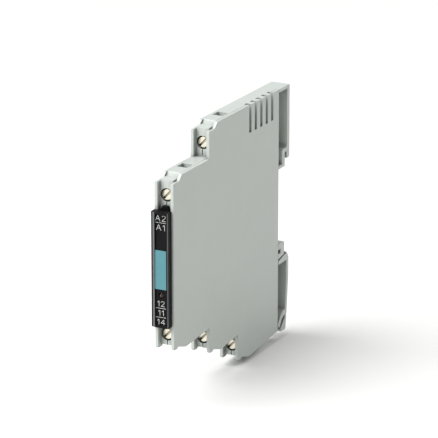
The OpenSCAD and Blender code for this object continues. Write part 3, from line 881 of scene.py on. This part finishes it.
@dataclass
class Terminal:
    """One terminal: its slotted screw, its clamp cage and its contact bar."""

    key: str
    head_len: float = 1.8
    head_edge: float = 0.28
    head_steps: int = 4
    head_chamfer: float = 0.1
    core_r: float = 1.0
    pitch: float = 0.45
    ridge: float = 0.2
    # Under 1, the ridge's flanks bulge
    ridge_power: float = 0.8
    plain_end: float = 0.3
    tip: float = 0.2
    slot_w: float = 0.75
    slot_depth: float = 1.1
    slot_deg: float = -45.0
    # A ring of this radius closes the head's middle, and the slot's cutter reaches this far out
    centre_r: float = 0.02
    reach: float = 1.0
    sheet_r: float = 0.09
    steps: int = 48
    rings_per_turn: int = 6

    def screw(self) -> Mesh:
        """Turns the screw: a domed head edge, a threaded shank, and the driver's slot.

        Returns:
            The mesh.
        """
        low, high = limits(f"screw_{self.key}")
        head_r = (high.x - low.x) / 2
        z = (low.z + high.z) / 2
        shank_y = low.y + self.head_len

        def ring(y: float, radius: float, thread: bool = False) -> list[Vector]:
            """Makes one ring of points, with the thread's ridge if asked."""
            loop = []
            for i in range(self.steps):
                turn = i / self.steps
                r = radius
                if thread:
                    phase = ((y - shank_y) / self.pitch - turn) % 1.0
                    r += self.ridge * (1 - abs(2 * phase - 1)) ** self.ridge_power
                angle = 2 * math.pi * turn
                loop.append(Vector((r * math.cos(angle), y, z + r * math.sin(angle))))
            return loop

        edge = self.head_edge
        curve = [(edge * (1 - math.cos(a)), head_r - edge * (1 - math.sin(a)))
                 for a in (math.pi / 2 * i / self.head_steps
                           for i in range(self.head_steps + 1))]
        loops = [ring(low.y, self.centre_r)]
        loops += [ring(low.y + y, r) for y, r in curve]
        loops += [ring(shank_y - self.head_chamfer, head_r),
                  ring(shank_y, head_r - self.head_chamfer), ring(shank_y, self.core_r)]
        step = self.pitch / self.rings_per_turn
        count = int((high.y - self.plain_end - shank_y) / step)
        loops += [ring(shank_y + step * i, self.core_r, True) for i in range(1, count)]
        loops += [ring(high.y - self.tip, self.core_r), ring(high.y, self.core_r - self.tip)]
        slot = block((-head_r - self.reach, -self.reach, -self.slot_w / 2),
                     (head_r + self.reach, self.slot_depth, self.slot_w / 2))
        bmesh.ops.rotate(slot, matrix=Matrix.Rotation(math.radians(self.slot_deg), 3, "Y"),
                         verts=slot.verts)
        bmesh.ops.translate(slot, vec=(0, low.y, z), verts=slot.verts)
        return carve(rings(loops), slot)

    def build(self) -> None:
        """Builds the terminal's pieces."""
        add_piece(f"screw_{self.key}_turned", self.screw(), NICKEL, f"screw_{self.key}_turn",
                  f"screw_{self.key}")
        add_piece(f"cage_{self.key}_folded", ease(cad_mesh(f"clamp_{self.key}"), self.sheet_r),
                  ZINC, f"clamp_{self.key}_slide", f"clamp_{self.key}")
        add_piece(f"busbar_{self.key}_stamped", ease(cad_mesh(f"bar_{self.key}"), self.sheet_r),
                  COPPER_BAR, Body.HOUSING.value, f"bar_{self.key}")


@dataclass
class Electronics:
    """The circuit board with its tracks, and the components on it."""

    board_edge_r: float = 0.06
    chip_edge_r: float = 0.15
    lens_edge_r: float = 0.3
    lens_steps: int = 4
    track_w: float = 0.5
    track_h: float = 0.05
    round_steps: int = 32
    pad_r: float = 0.55
    # Height of the solder over the board, and its radius there as a share of the pad's
    solder: tuple[tuple[float, float], ...] = (
        (-0.04, 1.0), (0.06, 1.0), (0.14, 0.8), (0.24, 0.45), (0.3, 0.12))
    # Place along the capacitor and its radius there, as shares of its length and radius
    can: tuple[tuple[float, float], ...] = (
        (0.0, 0.8), (0.0, 0.9), (0.02, 0.98), (0.05, 1.0), (0.1, 1.0), (0.13, 0.93),
        (0.16, 0.93), (0.19, 1.0), (0.95, 1.0), (0.98, 0.97), (1.0, 0.9), (0.99, 0.8))
    # Tracks as (y, z) corners, from the terminals' tabs to the relay's pins
    tracks: tuple[tuple[tuple[float, float], ...], ...] = (
        ((-63.0, 14.5), (-54.0, 14.5), (-50.0, 10.6), (-35.0, 10.6)),
        ((-40.0, 25.0), (-36.0, 21.0), (-36.0, 13.0), (-30.0, 9.4)),
        ((-63.0, -13.5), (-56.0, -13.5), (-47.0, -9.5), (-21.0, -9.5)),
        ((-40.5, -22.0), (-36.0, -18.0), (-20.0, -18.0), (-16.5, -12.0)),
        ((-68.0, -8.5), (-60.0, -6.0), (-60.0, 2.0), (-57.5, 3.2)),
        ((-52.0, 5.5), (-46.0, 5.5), (-42.0, 9.4), (-38.0, 9.4)))

    def tracks_mesh(self) -> Mesh:
        """Lays the tracks on the board's face as raised ribbons.

        Returns:
            The mesh.
        """
        face = limits("circuit_board")[1].x
        parts = []
        for route in self.tracks:
            for start, end in zip(route, route[1:]):
                a, b = Vector((face, *start)), Vector((face, *end))
                length = (b - a).length
                strip = block((-self.track_h, -self.track_w / 2, -self.track_w / 2),
                              (self.track_h, length + self.track_w / 2, self.track_w / 2))
                angle = math.atan2(end[1] - start[1], end[0] - start[0])
                bmesh.ops.rotate(strip, matrix=Matrix.Rotation(angle, 3, "X"), verts=strip.verts)
                bmesh.ops.translate(strip, vec=a, verts=strip.verts)
                parts.append(ease(strip, self.track_h / 2, 1))
        return join(parts)

    def solder_mesh(self) -> Mesh:
        """Sets a domed solder joint at both ends of each track.

        Returns:
            The mesh.
        """
        face = limits("circuit_board")[1].x
        steps = [2 * math.pi * i / self.round_steps for i in range(self.round_steps)]
        parts = []
        for route in self.tracks:
            for y, z in (route[0], route[-1]):
                parts.append(rings([[Vector((face + x, y + self.pad_r * r * math.cos(a),
                                             z + self.pad_r * r * math.sin(a))) for a in steps]
                                    for x, r in self.solder]))
        return join(parts)

    def turned(self, node: str, along: int, profile: list[tuple[float, float]]) -> Mesh:
        """Makes a round component from its profile, within its CAD node's box.

        Args:
            node: The CAD node.
            along: The number of the axis that it lies along.
            profile: Places along it and radii, each as a share of its length and radius.

        Returns:
            The mesh.
        """
        low, high = limits(node)
        across = [i for i in range(3) if i != along]
        middle = (low + high) / 2
        radius = (high[across[-1]] - low[across[-1]]) / 2
        middle[across[0]] = high[across[0]] - radius
        loops = []
        for share, r in profile:
            loop = []
            for i in range(self.round_steps):
                angle = 2 * math.pi * i / self.round_steps
                point = middle.copy()
                point[along] = low[along] + share * (high[along] - low[along])
                point[across[0]] += radius * r * math.cos(angle)
                point[across[1]] += radius * r * math.sin(angle)
                loop.append(point)
            loops.append(loop)
        return rings(loops)

    def build(self) -> None:
        """Builds the board and its components."""
        home = Body.HOUSING.value
        add_piece("board_panel", ease(cad_mesh("circuit_board"), self.board_edge_r), BOARD, home,
                  "circuit_board")
        add_piece("board_tracks", self.tracks_mesh(), BOARD, home)
        add_piece("solder_joints", self.solder_mesh(), TIN, home)
        add_piece("lamp_body", ease(cad_mesh("status_led"), self.lens_edge_r, self.lens_steps),
                  LAMP, home, "status_led")
        add_piece("bridge_body", ease(cad_mesh("rectifier"), self.chip_edge_r), EPOXY, home,
                  "rectifier")
        add_piece("diode_body", ease(cad_mesh("suppressor_diode"), self.chip_edge_r), EPOXY,
                  home, "suppressor_diode")
        add_piece("resistor_body", ease(cad_mesh("series_resistor"), self.chip_edge_r), RESISTOR,
                  home, "series_resistor")
        add_piece("capacitor_can", self.turned("smoothing_capacitor", 2, self.can), SLEEVE, home,
                  "smoothing_capacitor")


@dataclass
class RelayInsert:
    """The plug-in relay: its case and base, magnet, coil and contacts."""

    case_edge_r: float = 0.25
    case_steps: int = 3
    part_edge_r: float = 0.08
    wire_mm: float = 0.3
    rings_per_turn: int = 4
    corner_steps: int = 8
    parts: dict[str, tuple[str, Finish, Body]] = field(default_factory=lambda: {
        "relay_base": ("relay_base_moulding", RELAY, Body.HOUSING),
        "relay_pins": ("relay_pins_tinned", TIN, Body.HOUSING),
        "coil_bobbin": ("bobbin_moulding", NATURAL, Body.HOUSING),
        "coil_core": ("core_pressed", IRON, Body.HOUSING),
        "magnet_yoke": ("yoke_pressed", IRON, Body.HOUSING),
        "armature": ("armature_pressed", IRON, Body.ARMATURE),
        "pusher_card": ("pusher_card_moulding", NATURAL, Body.PUSHER),
        "contact_spring": ("contact_spring_strip", BRONZE, Body.BLADE),
        "moving_rivet": ("moving_rivet_headed", SILVER, Body.BLADE),
        "contact_make": ("make_contact_strip", BRONZE, Body.HOUSING),
        "contact_break": ("break_contact_strip", BRONZE, Body.HOUSING)})

    def winding(self) -> Mesh:
        """Winds the coil: a long round section whose surface shows each turn of wire.

        Real wire is under 0.1 mm thick, so the turns are drawn coarser.

        Returns:
            The mesh.
        """
        low, high = limits("coil_winding")
        middle = (low + high) / 2
        radius = (high.x - low.x) / 2
        straight = (high.z - low.z) / 2 - radius
        turns = int((high.y - low.y) / self.wire_mm)
        count = turns * self.rings_per_turn
        loops = []
        for i in range(count + 1):
            r = radius - self.wire_mm / 2 * (1 - abs(math.sin(math.pi * i / self.rings_per_turn)))
            y = low.y + (high.y - low.y) * i / count
            loop = []
            for side in (1, -1):
                for j in range(self.corner_steps + 1):
                    angle = math.pi * (j / self.corner_steps + (0 if side > 0 else 1))
                    loop.append(Vector((r * math.cos(angle), y,
                                        middle.z + side * straight + r * math.sin(angle))))
            loops.append(loop)
        return rings(loops)

    def build(self) -> None:
        """Builds the relay's pieces."""
        case = ease(cad_mesh("relay_case"), self.case_edge_r, self.case_steps)
        add_piece("relay_case_moulding", case, RELAY, Body.HOUSING.value, "relay_case")
        add_piece("coil_turns", self.winding(), WIRE, Body.HOUSING.value, "coil_winding")
        for node, (name, finish, body) in self.parts.items():
            add_piece(name, ease(cad_mesh(node), self.part_edge_r), finish, body.value, node)


@dataclass
class Studio:
    """A pale floor, soft lights and the camera."""

    azimuth: float = 27.63
    elevation: float = 17.82
    distance: float = 1000.0
    lens: float = 256.55
    aim: tuple[float, float, float] = (-0.723, -39.056, 5.072)
    floor_z: float = -47.2
    floor_size: float = 6000.0
    floor_cells: int = 8
    sky: float = 0.43
    # Each light: direction it comes from, distance, size and power in watts
    lights: tuple[tuple[str, tuple[float, float, float], float, float, float], ...] = (
        ("key_light", (-0.36, -0.53, 0.77), 1300.0, 1600.0, 36.0),
        ("edge_light", (0.35, 0.80, 0.48), 1200.0, 380.0, 5.0))

    def floor(self) -> None:
        """Lays a matt, pale floor just under the lowest reach of the latch foot."""
        bm = bmesh.new()
        bmesh.ops.create_grid(bm, x_segments=self.floor_cells, y_segments=self.floor_cells,
                              size=self.floor_size / 2)
        bmesh.ops.scale(bm, vec=(MM,) * 3, verts=bm.verts)
        bmesh.ops.translate(bm, vec=(0, 0, self.floor_z * MM), verts=bm.verts)
        mesh = bpy.data.meshes.new("floor")
        bm.to_mesh(mesh)
        bm.free()
        mesh.materials.append(PAINT.material())
        floor = bpy.data.objects.new("floor", mesh)
        bpy.context.scene.collection.objects.link(floor)

    def light_up(self) -> None:
        """Hangs the soft lights and sets the white surroundings."""
        for name, way, distance, size, power in self.lights:
            lamp = bpy.data.lights.new(name, "AREA")
            lamp.shape = "DISK"
            lamp.size = size * MM
            lamp.energy = power
            light = bpy.data.objects.new(name, lamp)
            direction = Vector(way).normalized()
            light.location = (Vector(self.aim) + direction * distance) * MM
            light.rotation_euler = direction.to_track_quat("Z", "Y").to_euler()
            bpy.context.scene.collection.objects.link(light)
        world = bpy.data.worlds.new("white_room")
        bpy.context.scene.world = world
        world.use_nodes = True
        background = world.node_tree.nodes["Background"]
        background.inputs["Color"].default_value = (1.0, 1.0, 1.0, 1.0)
        background.inputs["Strength"].default_value = self.sky

    def camera(self) -> None:
        """Sets up the camera, level and aimed at the middle of the view."""
        azimuth, elevation = math.radians(self.azimuth), math.radians(self.elevation)
        back = Vector((math.sin(azimuth) * math.cos(elevation),
                       -math.cos(azimuth) * math.cos(elevation), math.sin(elevation)))
        data = bpy.data.cameras.new("camera")
        data.lens = self.lens
        camera = bpy.data.objects.new("camera", data)
        camera.location = (Vector(self.aim) + back * self.distance) * MM
        camera.rotation_euler = back.to_track_quat("Z", "Y").to_euler()
        bpy.context.scene.collection.objects.link(camera)
        bpy.context.scene.camera = camera

    def build(self) -> None:
        """Builds the stage."""
        self.camera()
        self.floor()
        self.light_up()
        bpy.context.scene.view_settings.view_transform = "Standard"


def main() -> None:
    """Builds the stage and every assembly, in order."""
    logging.basicConfig(level=logging.INFO, format="%(name)s: %(message)s")
    Studio().build()
    Casing().build()
    Front().build()
    for key in ("a1", "a2", "12", "11", "14"):
        Terminal(key).build()
    Electronics().build()
    RelayInsert().build()


if __name__ == "__main__":
    main()
